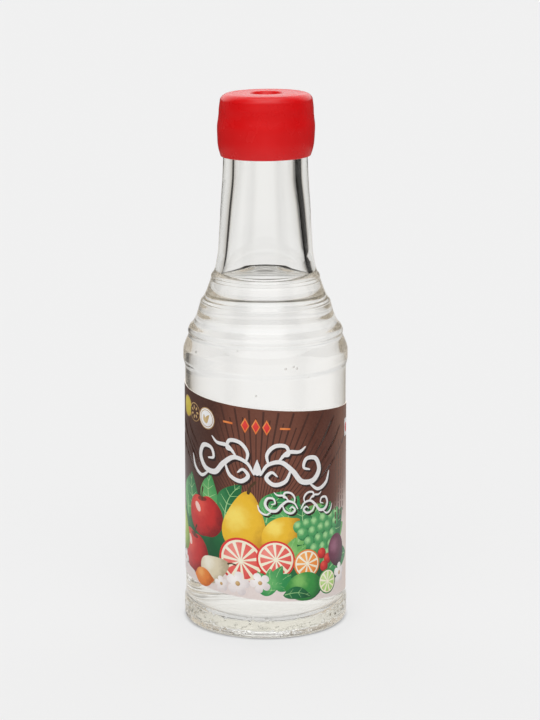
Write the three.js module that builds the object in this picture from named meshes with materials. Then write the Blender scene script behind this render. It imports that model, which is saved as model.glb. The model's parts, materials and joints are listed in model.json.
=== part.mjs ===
// Small round vinegar bottle: clear glass with a stepped shoulder, filled to the
// root of the neck, with a pressed-on red cap and a paper label wrapped a little
// askew round the body. Millimetres, +Z up, origin at the middle of the base,
// front of the label towards -Y.

import * as THREE from 'three';

// ---- driving dimensions --------------------------------------------------

const FACETS = 40;                 // flats round every turned piece

// outside of the glass
const BASE = { dish: 2.0, dishR: 19.6, ringIn: 21.9, ringOut: 24.1, heel: 1.5 };
const CONTACT = { r: 25.55, top: 6.2, out: 8.7 };       // raised band at the heel
const PANEL = { rLow: 25.14, rHigh: 24.88, top: 80.3 };  // recessed label panel
const SHOULDER = { r: 25.42, low: 83.3, high: 86.1, endZ: 87.9, endR: 24.86 };

// three rings that stand on the shoulder, from the lowest to the highest:
// notch under the ring, its crest, and where the slope goes on above it
const RINGS = [
  { notchZ: 91.25, notchR: 23.68, crestLow: 91.85, crestHigh: 92.65, crestR: 23.86, aboveZ: 94.05, aboveR: 22.56 },
  { notchZ: 98.15, notchR: 20.68, crestLow: 99.05, crestHigh: 100.3, crestR: 20.46, aboveZ: 102.1, aboveR: 19.10 },
  { notchZ: 107.25, notchR: 16.98, crestLow: 107.85, crestHigh: 108.65, crestR: 16.78, aboveZ: 110.15, aboveR: 15.85 },
];
const NECK = { flareZ: 113.3, flareR: 15.02, rootZ: 120.4, rootR: 14.27, topZ: 142.4, topR: 12.90 };
const FINISH = { neckR: 12.78, neckZ: 147.5, beadR: 13.25, beadLow: 149.1, beadHigh: 157.3,
                 lipR: 12.0, rimZ: 161.8, rimRound: 0.8 };

// inside of the glass
const BORE = { floorMid: 5.1, floorEdge: 4.0, floorR: 15.5, corner: 5.4, wallLow: 22.70, wallHigh: 22.58,
               shoulderZ: 84.9, shoulderR: 22.80 };
const BORE_SLOPE = { startZ: 88.9, startR: 22.1, endZ: 108.9, endR: 13.55, steps: 4 };
const BORE_NECK = [ { z: 113.7, r: 12.1 }, { z: 120.9, r: 11.2 }, { z: 130.1, r: 10.2 }, { z: 139.3, r: 9.15 } ];
const MOUTH_R = 8.9;

// contents
const LEVEL = 109.3;               // free surface of the liquid
const LIQUID_GAP = 0.3;

// cap
const CAP = { lipZ: 145.5, lipIn: 13.12, lipOut: 13.78, lipRound: 0.45,
              bellyZ: 153.9, bellyR: 14.82, waistZ: 158.6, waistR: 14.38, topZ: 164.5, topR: 14.05,
              edgeOut: 3.0, edgeDown: 2.4, seatZ: 162.1, innerR: 13.6,
              dimpleR: 4.75, dimple: 1.1, nubR: 0.9, nub: 0.35 };

// label
const LABEL = { gap: 0.1, thick: 0.16, topMid: 72.34, bottomMid: 12.53, facetsLeft: 14, facetsRight: 15, rows: 5,
                skew: 2.22 };      // fall of the label in millimetres for each radian to the right

// ---- helpers -------------------------------------------------------------

const DEG = Math.PI / 180;

// eases a run of straight stretches between two heights
function stretch(points, z0, r0, z1, r1, n) {
  for (let i = 1; i <= n; i++) {
    const t = i / n;
    points.push([r0 + (r1 - r0) * t, z0 + (z1 - z0) * t]);
  }
}

// quarter round from one direction into the other, as points on an ellipse
function round(points, cr, cz, rr, rz, a0, a1, n) {
  for (let i = 0; i <= n; i++) {
    const a = (a0 + (a1 - a0) * i / n) * DEG;
    points.push([cr + rr * Math.cos(a), cz + rz * Math.sin(a)]);
  }
}

// turns a closed half-section round the vertical axis
function turned(points) {
  const clean = points.filter((p, i) => i === 0 ||
    Math.hypot(p[0] - points[i - 1][0], p[1] - points[i - 1][1]) > 0.02);
  const geometry = new THREE.LatheGeometry(clean.map(p => new THREE.Vector2(Math.max(p[0], 0), p[1])), FACETS);
  geometry.rotateX(Math.PI / 2);
  return geometry;
}

// radius of the glass outside from the raised band up over the label panel
function panelRadius(z) {
  if (z < CONTACT.out) {
    const u = THREE.MathUtils.clamp((z - CONTACT.top) / (CONTACT.out - CONTACT.top), 0, 1);
    return CONTACT.r + (PANEL.rLow - CONTACT.r) * u;
  }
  const t = Math.min((z - CONTACT.out) / (PANEL.top - CONTACT.out), 1);
  return PANEL.rLow + (PANEL.rHigh - PANEL.rLow) * t;
}

// ---- half-sections -------------------------------------------------------

function boreSection() {
  // from the middle of the floor up to the top of the neck
  const s = [];
  for (let i = 0; i <= 3; i++) {
    const t = i / 3;
    s.push([BORE.floorR * t, BORE.floorEdge + (BORE.floorMid - BORE.floorEdge) * (1 - t * t)]);
  }
  round(s, BORE.wallLow - BORE.corner, BORE.floorEdge + BORE.corner, BORE.corner, BORE.corner, -75, 0, 4);
  s.push([BORE.wallHigh, PANEL.top]);
  s.push([BORE.shoulderR, BORE.shoulderZ]);
  s.push([BORE_SLOPE.startR, BORE_SLOPE.startZ]);
  stretch(s, BORE_SLOPE.startZ, BORE_SLOPE.startR, BORE_SLOPE.endZ, BORE_SLOPE.endR, BORE_SLOPE.steps);
  for (const q of BORE_NECK) s.push([q.r, q.z]);
  return s;
}

function glassSection() {
  const s = [];
  // dished underside and flat bearing ring
  for (let i = 0; i <= 3; i++) {
    const t = i / 3;
    s.push([BASE.dishR * t, BASE.dish * (1 - t * t * 0.35)]);
  }
  s.push([BASE.ringIn, 0], [BASE.ringOut, 0]);
  // heel and raised band
  round(s, CONTACT.r - BASE.heel, BASE.heel, BASE.heel, BASE.heel, -60, 0, 2);
  s.push([CONTACT.r, CONTACT.top], [panelRadius(CONTACT.out), CONTACT.out]);
  // label panel, step out to the shoulder
  s.push([PANEL.rHigh, PANEL.top]);
  s.push([PANEL.rHigh + 0.14, PANEL.top + 1.2]);
  s.push([SHOULDER.r - 0.08, SHOULDER.low - 0.5], [SHOULDER.r, SHOULDER.low + 0.4], [SHOULDER.r - 0.06, SHOULDER.high]);
  s.push([SHOULDER.endR, SHOULDER.endZ]);
  // ringed slope
  for (const k of RINGS) {
    s.push([k.notchR, k.notchZ], [k.crestR, k.crestLow], [k.crestR - 0.05, k.crestHigh]);
    s.push([(k.crestR + k.aboveR) / 2 + 0.06, (k.crestHigh + k.aboveZ) / 2], [k.aboveR, k.aboveZ]);
  }
  // neck
  s.push([NECK.flareR, NECK.flareZ], [(NECK.flareR + NECK.rootR) / 2 - 0.16, (NECK.flareZ + NECK.rootZ) / 2]);
  s.push([NECK.rootR, NECK.rootZ]);
  stretch(s, NECK.rootZ, NECK.rootR, NECK.topZ, NECK.topR, 2);
  // finish under the cap
  s.push([FINISH.neckR, FINISH.neckZ], [FINISH.beadR, FINISH.beadLow], [FINISH.beadR, FINISH.beadHigh]);
  s.push([FINISH.lipR, FINISH.rimZ - FINISH.rimRound], [FINISH.lipR - FINISH.rimRound, FINISH.rimZ]);
  s.push([MOUTH_R + FINISH.rimRound, FINISH.rimZ], [MOUTH_R, FINISH.rimZ - FINISH.rimRound]);
  // inside, downwards
  for (const p of boreSection().reverse()) s.push(p);
  return s;
}

function liquidSection() {
  const wall = boreSection();
  const s = [];
  // the bore drawn in by the gap, square to the wall
  for (let i = 0; i < wall.length && wall[i][1] < LEVEL; i++) {
    const a = wall[Math.max(i - 1, 0)], b = wall[Math.min(i + 1, wall.length - 1)];
    const dr = b[0] - a[0], dz = b[1] - a[1], n = Math.hypot(dr, dz);
    s.push([i === 0 ? 0 : wall[i][0] - LIQUID_GAP * dz / n, wall[i][1] + LIQUID_GAP * dr / n]);
  }
  const last = s[s.length - 1];
  s.push([last[0] - (LEVEL - last[1]) * 0.35, LEVEL], [0, LEVEL]);
  return s;
}

function capSection() {
  const s = [];
  // inside: seat over the rim, then down the skirt
  s.push([0, CAP.seatZ], [FINISH.lipR + 0.3, CAP.seatZ], [CAP.innerR, FINISH.beadHigh + 0.8]);
  s.push([CAP.innerR, FINISH.beadLow - 0.6], [CAP.lipIn, CAP.lipZ + 1.0], [CAP.lipIn, CAP.lipZ + 0.15]);
  // rolled lip
  s.push([CAP.lipOut - CAP.lipRound, CAP.lipZ], [CAP.lipOut, CAP.lipZ + CAP.lipRound]);
  // barrelled skirt
  const bellyBelow = CAP.bellyZ - CAP.lipZ - CAP.lipRound;
  for (let i = 1; i <= 4; i++) {
    const t = i / 4;
    s.push([CAP.lipOut + (CAP.bellyR - CAP.lipOut) * (1 - (1 - t) ** 3), CAP.lipZ + CAP.lipRound + bellyBelow * t]);
  }
  s.push([CAP.waistR, CAP.waistZ]);
  // rounded edge, flat top, centre dimple and nub
  round(s, CAP.topR - CAP.edgeOut, CAP.topZ - CAP.edgeDown, CAP.edgeOut, CAP.edgeDown, 0, 90, 4);
  s.push([CAP.dimpleR + 0.25, CAP.topZ], [CAP.dimpleR - 0.25, CAP.topZ - CAP.dimple]);
  s.push([CAP.nubR + 0.3, CAP.topZ - CAP.dimple], [CAP.nubR, CAP.topZ - CAP.dimple + CAP.nub]);
  s.push([0, CAP.topZ - CAP.dimple + CAP.nub]);
  return s;
}

function labelGeometry() {
  // a flat strip bent round the panel; its columns lie on the edges of the facets
  // and its rows are closest where it runs over the raised band
  const count = LABEL.facetsLeft + LABEL.facetsRight;
  const g = new THREE.BoxGeometry(1, 1, 1, count, 1, LABEL.rows);
  const pos = g.attributes.position;
  for (let i = 0; i < pos.count; i++) {
    const a = ((pos.getX(i) + 0.5) * count - LABEL.facetsLeft) * 360 / FACETS * DEG;
    const w = (pos.getZ(i) + 0.5) ** 2;
    const z = LABEL.bottomMid + (LABEL.topMid - LABEL.bottomMid) * w - LABEL.skew * a;
    const r = panelRadius(z) + LABEL.gap + (pos.getY(i) < 0 ? LABEL.thick : 0);
    pos.setXYZ(i, r * Math.sin(a), -r * Math.cos(a), z);
  }
  g.deleteAttribute('normal');
  g.deleteAttribute('uv');
  g.computeVertexNormals();
  return g;
}

// ---- the object ----------------------------------------------------------

const glassMaterial = new THREE.MeshStandardMaterial({ color: 0xe9e9e2, roughness: 0.05, metalness: 0, transparent: true, opacity: 0.35 });
const liquidMaterial = new THREE.MeshStandardMaterial({ color: 0xf1efe6, roughness: 0.03, metalness: 0, transparent: true, opacity: 0.45 });
const capMaterial = new THREE.MeshStandardMaterial({ color: 0xcc1d1c, roughness: 0.42, metalness: 0 });
const labelMaterial = new THREE.MeshStandardMaterial({ color: 0x7c4a33, roughness: 0.38, metalness: 0 });

const bottle = new THREE.Group();

function add(name, geometry, material) {
  const mesh = new THREE.Mesh(geometry, material);
  mesh.name = name;
  bottle.add(mesh);
}

add('glass_bottle', turned(glassSection()), glassMaterial);
add('vinegar', turned(liquidSection()), liquidMaterial);
add('cap', turned(capSection()), capMaterial);
add('label', labelGeometry(), labelMaterial);

export default bottle;
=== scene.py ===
import json
import math

import bpy
import numpy as np
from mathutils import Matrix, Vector
from mathutils.geometry import delaunay_2d_cdt

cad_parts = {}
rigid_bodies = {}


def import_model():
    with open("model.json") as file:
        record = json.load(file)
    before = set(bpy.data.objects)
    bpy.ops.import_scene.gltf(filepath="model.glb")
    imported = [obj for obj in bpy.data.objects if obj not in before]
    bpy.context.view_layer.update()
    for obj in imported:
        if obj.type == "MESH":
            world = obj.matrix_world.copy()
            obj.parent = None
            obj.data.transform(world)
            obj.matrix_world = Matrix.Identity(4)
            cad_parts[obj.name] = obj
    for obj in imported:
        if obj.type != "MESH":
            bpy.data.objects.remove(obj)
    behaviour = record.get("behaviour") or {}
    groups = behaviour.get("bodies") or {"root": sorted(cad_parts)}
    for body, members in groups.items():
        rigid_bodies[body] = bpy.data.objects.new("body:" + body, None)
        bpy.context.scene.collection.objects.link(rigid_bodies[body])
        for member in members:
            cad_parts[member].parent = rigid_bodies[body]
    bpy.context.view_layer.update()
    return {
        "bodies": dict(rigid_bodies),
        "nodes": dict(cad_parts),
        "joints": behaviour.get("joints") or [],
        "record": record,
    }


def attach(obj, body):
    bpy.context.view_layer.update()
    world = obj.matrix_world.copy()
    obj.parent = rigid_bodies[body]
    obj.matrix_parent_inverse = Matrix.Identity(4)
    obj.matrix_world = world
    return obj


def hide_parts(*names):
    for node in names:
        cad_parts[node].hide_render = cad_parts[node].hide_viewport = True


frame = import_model()

MM = 0.001
TAU = 2 * math.pi
DEG = math.pi / 180
rng = np.random.default_rng(20)

# ---------------------------------------------------------------------------
# sizes, in millimetres, the same stations as the solids
# ---------------------------------------------------------------------------
BASE = dict(dish=2.0, dish_r=19.6, ring_in=21.9, ring_out=24.1, heel=1.5)
CONTACT = dict(r=25.55, top=6.2, out=8.7)
PANEL = dict(low=25.14, high=24.88, top=80.3)
SHOULDER = dict(r=25.42, low=83.3, high=86.1, end_z=87.9, end_r=24.86)
RINGS = [
    dict(notch=(23.70, 91.2), crest=23.90, low=91.75, high=92.6, above=(22.56, 94.05), lean=0.24),
    dict(notch=(20.72, 98.1), crest=20.50, low=98.95, high=100.2, above=(19.10, 102.1), lean=0.32),
    dict(notch=(16.98, 107.25), crest=16.78, low=107.85, high=108.65, above=(15.85, 110.15)),
]
NECK = dict(flare=(15.02, 113.3), root=(14.27, 120.4), top=(12.90, 142.4))
FINISH = dict(neck=(12.78, 147.5), bead=13.25, bead_low=149.1, bead_high=157.3, lip=12.0, rim=161.8, soft=0.8)
BORE = dict(floor_mid=5.1, floor_edge=4.0, floor_r=15.5, corner=5.4, low=22.70, high=22.58, shoulder=(22.80, 84.9))
BORE_SLOPE = ((22.1, 88.9), (13.55, 108.9))
BORE_NECK = [(12.1, 113.7), (11.2, 120.9), (10.2, 130.1), (9.15, 139.3)]
MOUTH = 8.9
LEVEL = 108.6
MENISCUS = dict(rise=1.2, length=1.9)
INTO_WALL = 0.06
CAP = dict(lip_z=145.5, lip_in=13.12, lip_out=13.78, belly=(14.82, 153.9), waist=(14.38, 158.6),
           top=164.5, top_r=14.05, edge_out=3.0, edge_down=2.4, seat=162.1, inner=13.6,
           dimple_r=4.75, dimple=1.1, nub_r=0.9, nub=0.35)
LABEL = dict(left=-126.0, right=135.0, bottom=12.53, top=72.34, skew=2.22, radius=25.12)


# ---------------------------------------------------------------------------
# curves
# ---------------------------------------------------------------------------
def pchip(x, y, q):
    """Monotone cubic through the stations."""
    x, y, q = np.asarray(x, float), np.asarray(y, float), np.asarray(q, float)
    h, d = np.diff(x), np.diff(y) / np.diff(x)
    m = np.zeros_like(y)
    for i in range(1, len(x) - 1):
        if d[i - 1] * d[i] > 0:
            w1, w2 = 2 * h[i] + h[i - 1], h[i] + 2 * h[i - 1]
            m[i] = (w1 + w2) / (w1 / d[i - 1] + w2 / d[i])
    m[0], m[-1] = d[0], d[-1]
    k = np.clip(np.searchsorted(x, q, "right") - 1, 0, len(x) - 2)
    t = (q - x[k]) / h[k]
    return ((2 * t**3 - 3 * t**2 + 1) * y[k] + (t**3 - 2 * t**2 + t) * h[k] * m[k]
            + (-2 * t**3 + 3 * t**2) * y[k + 1] + (t**3 - t**2) * h[k] * m[k + 1])


def through(points, turn=3.0, longest=1.6, fine=0.08):
    """A smooth line through the stations, with points closer where it bends."""
    p = np.array(points, float)
    s = np.concatenate([[0], np.cumsum(np.hypot(*np.diff(p, axis=0).T))])
    q = np.linspace(0, s[-1], max(3, int(s[-1] / fine)))
    c = np.stack([pchip(s, p[:, 0], q), pchip(s, p[:, 1], q)], 1)
    keep, last, a0 = [0], 0, None
    for i in range(1, len(c) - 1):
        a = math.atan2(*(c[i + 1] - c[i]))
        a0 = a if a0 is None else a0
        bend = abs((a - a0 + math.pi) % TAU - math.pi)
        if bend > turn * DEG or np.hypot(*(c[i] - c[last])) > longest:
            keep.append(i)
            last, a0 = i, a
    return [tuple(c[i]) for i in keep] + [tuple(c[-1])]


def arc(cr, cz, rr, rz, a0, a1, n):
    return [(cr + rr * math.cos(a), cz + rz * math.sin(a)) for a in np.linspace(a0 * DEG, a1 * DEG, n + 1)]


def offset(points, d):
    """The line moved sideways by d, to the right of the way it runs."""
    p = np.array(points, float)
    t = np.gradient(p, axis=0)
    t /= np.hypot(*t.T)[:, None]
    if p[0, 0] == 0:
        t[0] = (1.0, 0.0)
    o = p + d * np.stack([t[:, 1], -t[:, 0]], 1)
    return [tuple(q) for q in o]


def panel_radius(z):
    z = np.asarray(z, float)
    u = np.clip((z - CONTACT["top"]) / (CONTACT["out"] - CONTACT["top"]), 0, 1)
    u = u * u * (3 - 2 * u)
    band = CONTACT["r"] + (PANEL["low"] - CONTACT["r"]) * u
    t = np.clip((z - CONTACT["out"]) / (PANEL["top"] - CONTACT["out"]), 0, 1)
    return np.where(z < CONTACT["out"], band, PANEL["low"] + (PANEL["high"] - PANEL["low"]) * t)


# ---------------------------------------------------------------------------
# meshes
# ---------------------------------------------------------------------------
def make(name, verts, faces, slots=None, smooth=True):
    mesh = bpy.data.meshes.new(name)
    mesh.from_pydata([tuple(v) for v in np.asarray(verts, float) * MM], [], faces)
    mesh.validate(clean_customdata=False)
    mesh.update()
    if smooth:
        mesh.shade_smooth()
    obj = bpy.data.objects.new(name, mesh)
    bpy.context.scene.collection.objects.link(obj)
    return obj


def turned(rows, move=None):
    """Vertices and faces of a closed section turned round Z. rows is a list of (r, z, segments); a
    row on the axis is one point. Neighbour rows may differ in segments by a whole factor."""
    verts, faces, start = [], [], []
    for r, z, n in rows:
        start.append(len(verts))
        if r < 1e-6:
            verts.append((0.0, 0.0, z))
            continue
        a = np.arange(n) * TAU / n
        rr, zz = np.full(n, r), np.full(n, z)
        if move is not None:
            rr, zz = move(rr, zz, a)
        verts.extend(zip(rr * np.sin(a), -rr * np.cos(a), zz))
    for i in range(len(rows)):
        k = (i + 1) % len(rows)
        (r0, _, n0), (r1, _, n1) = rows[i], rows[k]
        s0, s1 = start[i], start[k]
        if r0 < 1e-6 and r1 < 1e-6:
            continue
        if r0 < 1e-6:
            faces += [(s0, s1 + (j + 1) % n1, s1 + j) for j in range(n1)]
        elif r1 < 1e-6:
            faces += [(s0 + j, s0 + (j + 1) % n0, s1) for j in range(n0)]
        elif n0 == n1:
            faces += [(s0 + j, s0 + (j + 1) % n0, s1 + (j + 1) % n0, s1 + j) for j in range(n0)]
        elif n0 > n1:
            k2 = n0 // n1
            for j in range(n1):
                c0, c1, h = s1 + j, s1 + (j + 1) % n1, k2 // 2
                f = [s0 + (j * k2 + m) % n0 for m in range(k2 + 1)]
                faces += [(f[m], f[m + 1], c0 if m < h else c1) for m in range(k2)]
                faces.append((f[h], c1, c0))
        else:
            k2 = n1 // n0
            for j in range(n0):
                c0, c1, h = s0 + j, s0 + (j + 1) % n0, k2 // 2
                f = [s1 + (j * k2 + m) % n1 for m in range(k2 + 1)]
                faces += [(f[m + 1], f[m], c0 if m < h else c1) for m in range(k2)]
                faces.append((c0, c1, f[h]))
    return verts, faces


def ring_noise(seed, waves, z_scale):
    """A smooth unevenness round and up a wall: returns f(angle, z), about -1 to 1."""
    g = np.random.default_rng(seed)
    terms = [(k, g.uniform(0, TAU), g.uniform(0.4, 1.0) / z_scale * g.choice([-1, 1]), g.uniform(0, TAU), g.uniform(0.5, 1))
             for k in waves for _ in range(2)]
    total = sum(t[4] for t in terms)

    def f(a, z):
        return sum(w * np.sin(k * a + p) * np.cos(q * z + o) for k, p, q, o, w in terms) / total * 1.6
    return f


inner_wave = ring_noise(5, (1, 2, 3, 5), 9.0)
outer_wave = ring_noise(8, (2, 3), 14.0)


# ---------------------------------------------------------------------------
# sections
# ---------------------------------------------------------------------------
def bore_line():
    s = []
    for t in np.linspace(0, 1, 12):
        s.append((BORE["floor_r"] * t, BORE["floor_edge"] + (BORE["floor_mid"] - BORE["floor_edge"]) * (1 - t * t)))
    c = BORE["corner"]
    s += arc(BORE["low"] - c, BORE["floor_edge"] + c, c, c, -78, 0, 22)
    up = [s[-1], (BORE["high"] + 0.05, 50.0), (BORE["high"], PANEL["top"]), BORE["shoulder"], BORE_SLOPE[0]]
    (r0, z0), (r1, z1) = BORE_SLOPE
    up += [(r0 + (r1 - r0) * t, z0 + (z1 - z0) * t) for t in (0.25, 0.5, 0.75, 1.0)]
    up += BORE_NECK + [(MOUTH, FINISH["rim"] - FINISH["soft"])]
    return s + through(up)[1:]


def glass_rows():
    soft = 0.9                                    # the foot of the bearing ring is rounded by the points of foot below
    under = [(BASE["dish_r"] * t, BASE["dish"] * (1 - 0.35 * t * t)) for t in np.linspace(0, 1, 10)]
    foot = through([under[-1], (20.6, 0.95), (21.4, 0.25), (22.1, 0.02), (23.4, 0.02), (24.2, 0.04)], 6, 0.26)
    h = BASE["heel"]
    heel = arc(CONTACT["r"] - h, h, h, h, -72, 0, 10)
    band = [(CONTACT["r"], z) for z in np.arange(h + 0.3, CONTACT["top"], 0.3)]
    ease = [(float(panel_radius(z)), z) for z in np.linspace(CONTACT["top"], CONTACT["out"] + 1.2, 9)]
    s = [ease[-1], (float(panel_radius(40.0)), 40.0), (PANEL["high"], PANEL["top"]), (PANEL["high"] + 0.13, 81.5), (SHOULDER["r"] - 0.08, 82.8),
         (SHOULDER["r"], 83.7), (SHOULDER["r"] - 0.02, 85.1), (SHOULDER["r"] - 0.06, SHOULDER["high"]), (SHOULDER["end_r"], SHOULDER["end_z"])]
    for k in RINGS:
        c, (ra, za) = k["crest"], k["above"]
        s += [k["notch"], (c, k["low"]), (c - k.get("lean", 0.05), k["high"]), ((c + ra) / 2 + 0.06, (k["high"] + za) / 2), (ra, za)]
    s += [NECK["flare"], ((NECK["flare"][0] + NECK["root"][0]) / 2 - 0.16, (NECK["flare"][1] + NECK["root"][1]) / 2),
          NECK["root"], ((NECK["root"][0] + NECK["top"][0]) / 2, (NECK["root"][1] + NECK["top"][1]) / 2), NECK["top"], FINISH["neck"],
          (FINISH["bead"], FINISH["bead_low"]), (FINISH["bead"], FINISH["bead_high"])]
    upper = through(s)[1:]
    f = FINISH["soft"]
    rim = [(FINISH["lip"], FINISH["rim"] - f)] + arc(FINISH["lip"] - f, FINISH["rim"] - f, f, f, 20, 90, 4)
    rim += arc(MOUTH + f, FINISH["rim"] - f, f, f, 90, 180, 5)
    bore = bore_line()[::-1][1:]
    rows = [(r, z, N) for r, z in under[:-1]]
    rows += [(r, z, N_FINE) for r, z in foot + heel[1:] + band + ease]
    rows += [(r, z, N) for r, z in upper + rim + bore]
    return rows


N, N_FINE = 160, 640


def stipple_marks():
    """Where the little pressed crescents are: angle, distance along the section, size, tilt, height."""
    g = np.random.default_rng(44)
    marks = []
    while len(marks) < 300:
        a, v = g.uniform(0, TAU), g.uniform(-4.6, 7.6)
        if abs(v) < 0.5 or g.uniform() > (0.4 if v < 0 else 0.15 if v < 2 else 0.9):
            continue
        if all(math.hypot((a - b[0] + math.pi) % TAU - math.pi, (v - b[1]) / 25) * 25 > 1.15 for b in marks):
            marks.append((a, v, g.uniform(0.42, 0.78), g.uniform(-0.9, 0.9), g.uniform(0.07, 0.13) * (1.7 if v > 2 else 1.0)))
    return marks


MARKS = stipple_marks()


def stipple(a, r, z):
    """Height of the pressed crescents on the bearing ring and the heel."""
    under = (r < 24.3) & (z < 1.4)
    v = np.where(under, r - 24.3, (r - 24.3) + (z - 0.04))
    h = np.zeros_like(a)
    v0 = float(v[0])
    for b, w, size, tilt, high in MARKS:
        if abs(v0 - w) > 2.2 * size:
            continue
        du = ((a - b + math.pi) % TAU - math.pi) * 25.0
        dv = v - w
        u = (du * math.cos(tilt) + dv * math.sin(tilt)) / size
        q = (dv * math.cos(tilt) - du * math.sin(tilt)) / (0.55 * size)
        q = q - 0.9 * u * u
        h += high * np.exp(-(u * u + q * q) * 1.3)
    return h


def glass_move(r, z, a):
    if r[0] > 19.3 and z[0] < 8.0 and len(a) == N_FINE:
        h = stipple(a, r, z)
        fade = min(1.0, max(0.0, (8.0 - z[0]) / 1.5))
        return (r, z + h) if r[0] < 24.35 and z[0] < 1.4 else (r - h * fade, z)
    bore = r < BORE_R(z) + 0.6
    r = np.where(bore, r + bore_uneven(a, z), r + 0.02 * outer_wave(a, z) * np.clip((z - 12) / 20, 0, 1))
    return r, z


def BORE_R(z):
    return np.interp(z, BORE_Z, BORE_RR, left=0, right=MOUTH)


def bore_uneven(a, z):
    calm = np.clip((z - 8) / 15, 0, 1) * np.clip((158 - z) / 20, 0, 1)
    return 0.035 * inner_wave(a, z) * calm


_line = np.array(bore_line())
_k = np.argsort(_line[:, 1])
BORE_Z, BORE_RR = _line[_k, 1], _line[_k, 0]


def liquid_rows():
    wall = bore_line()
    top = LEVEL + MENISCUS["rise"]
    wall = [p for p in wall if p[1] < top - 0.05]
    side = offset(wall, INTO_WALL)
    r_top = float(BORE_R(top)) + INTO_WALL
    face = []
    for t in np.linspace(0, 1, 26) ** 1.6:
        r = r_top * (1 - t)
        gap = r_top - INTO_WALL - r
        h = MENISCUS["rise"] * math.exp(-max(gap, 0) / MENISCUS["length"])
        face.append((r, LEVEL + h))
    face[-1] = (0.0, face[-1][1])
    return [(r, z, N) for r, z in side + face]


def liquid_move(r, z, a):
    edge = r > BORE_R(z) - 0.3
    return np.where(edge, r + bore_uneven(a, z), r), z


# ---------------------------------------------------------------------------
# materials
# ---------------------------------------------------------------------------
class Nodes:
    """Short names for the shader nodes used here."""

    def __init__(self, tree):
        self.t = tree

    def new(self, kind, **values):
        n = self.t.nodes.new(kind)
        for k, v in values.items():
            setattr(n, k, v)
        return n

    def link(self, a, b):
        self.t.links.new(a, b)
        return a

    def put(self, socket, value):
        if isinstance(value, bpy.types.NodeSocket):
            self.t.links.new(value, socket)
        elif value is not None:
            socket.default_value = value

    def math(self, op, a, b=None, c=None, clamp=False):
        n = self.new("ShaderNodeMath", operation=op, use_clamp=clamp)
        for s, v in zip(n.inputs, (a, b, c)):
            self.put(s, v)
        return n.outputs[0]

    def step(self, x, a, b, lo=0.0, hi=1.0, kind="SMOOTHSTEP"):
        """lo where x is a, hi where x is b."""
        n = self.new("ShaderNodeMapRange", interpolation_type=kind)
        for s, v in zip(n.inputs[:5], (x, a, b, lo, hi)):
            self.put(s, v)
        return n.outputs[0]

    def mix(self, f, a, b, blend="MIX"):
        n = self.new("ShaderNodeMix", data_type="RGBA", blend_type=blend)
        self.put(n.inputs["Factor"], f)
        self.put(n.inputs[6], a)
        self.put(n.inputs[7], b)
        return n.outputs[2]

    def noise(self, vector, scale, detail=2.0, rough=0.5, distortion=0.0):
        n = self.new("ShaderNodeTexNoise")
        self.put(n.inputs["Vector"], vector)
        self.put(n.inputs["Scale"], scale)
        self.put(n.inputs["Detail"], detail)
        self.put(n.inputs["Roughness"], rough)
        self.put(n.inputs["Distortion"], distortion)
        return n.outputs["Fac"]

    def bump(self, height, strength, distance, normal=None):
        n = self.new("ShaderNodeBump")
        self.put(n.inputs["Strength"], strength)
        self.put(n.inputs["Distance"], distance)
        self.put(n.inputs["Height"], height)
        self.put(n.inputs["Normal"], normal)
        return n.outputs["Normal"]

    def xyz(self, vector):
        n = self.new("ShaderNodeSeparateXYZ")
        self.put(n.inputs[0], vector)
        return n.outputs


def lin(*rgb):
    """An sRGB colour, 0 to 255, as a linear one."""
    out = []
    for c in rgb:
        c /= 255
        out.append(c / 12.92 if c <= 0.04045 else ((c + 0.055) / 1.055) ** 2.4)
    return (*out, 1.0)


def material(name):
    m = bpy.data.materials.new(name)
    m.use_nodes = True
    n = Nodes(m.node_tree)
    shader = m.node_tree.nodes["Principled BSDF"]
    coord = n.new("ShaderNodeTexCoord").outputs["Object"]
    return m, n, shader, coord


def glass_material():
    m, n, p, co = material("clear_glass")
    p.inputs["Base Color"].default_value = (1.0, 1.0, 0.997, 1)
    p.inputs["Transmission Weight"].default_value = 1.0
    p.inputs["IOR"].default_value = 1.52
    n.put(p.inputs["Roughness"], n.step(n.noise(co, 240, 3), 0.35, 0.75, 0.0, 0.006, "LINEAR"))
    n.put(p.inputs["Normal"], n.bump(n.noise(co, 90, 1.0), 0.02, 0.0004))
    # where it is thick it takes a little off the blue
    thick = n.new("ShaderNodeVolumeAbsorption")
    thick.inputs["Color"].default_value = (0.965, 0.958, 0.926, 1)
    thick.inputs["Density"].default_value = 78.0
    out = [q for q in m.node_tree.nodes if q.type == "OUTPUT_MATERIAL"][0]
    n.link(thick.outputs[0], out.inputs["Volume"])
    return m


def liquid_material():
    m, n, p, co = material("vinegar_liquid")
    p.inputs["Base Color"].default_value = (1.0, 1.0, 0.999, 1)
    p.inputs["Transmission Weight"].default_value = 1.0
    p.inputs["IOR"].default_value = 1.34
    n.put(p.inputs["Roughness"], n.step(n.noise(co, 60, 2), 0.3, 0.8, 0.0, 0.004, "LINEAR"))
    return m


def cap_material():
    m, n, p, co = material("red_cap")
    broad = n.noise(co, 70, 3)
    fine = n.noise(co, 900, 2)
    n.put(p.inputs["Base Color"], n.mix(n.step(broad, 0.3, 0.7), lin(216, 5, 10), lin(222, 10, 14)))
    n.put(p.inputs["Roughness"], n.step(n.noise(co, 180, 4), 0.3, 0.7, 0.24, 0.29))
    n.put(p.inputs["Normal"], n.bump(fine, 0.12, 0.00004, n.bump(broad, 0.1, 0.0002)))
    p.inputs["Specular IOR Level"].default_value = 0.34
    return m


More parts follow.
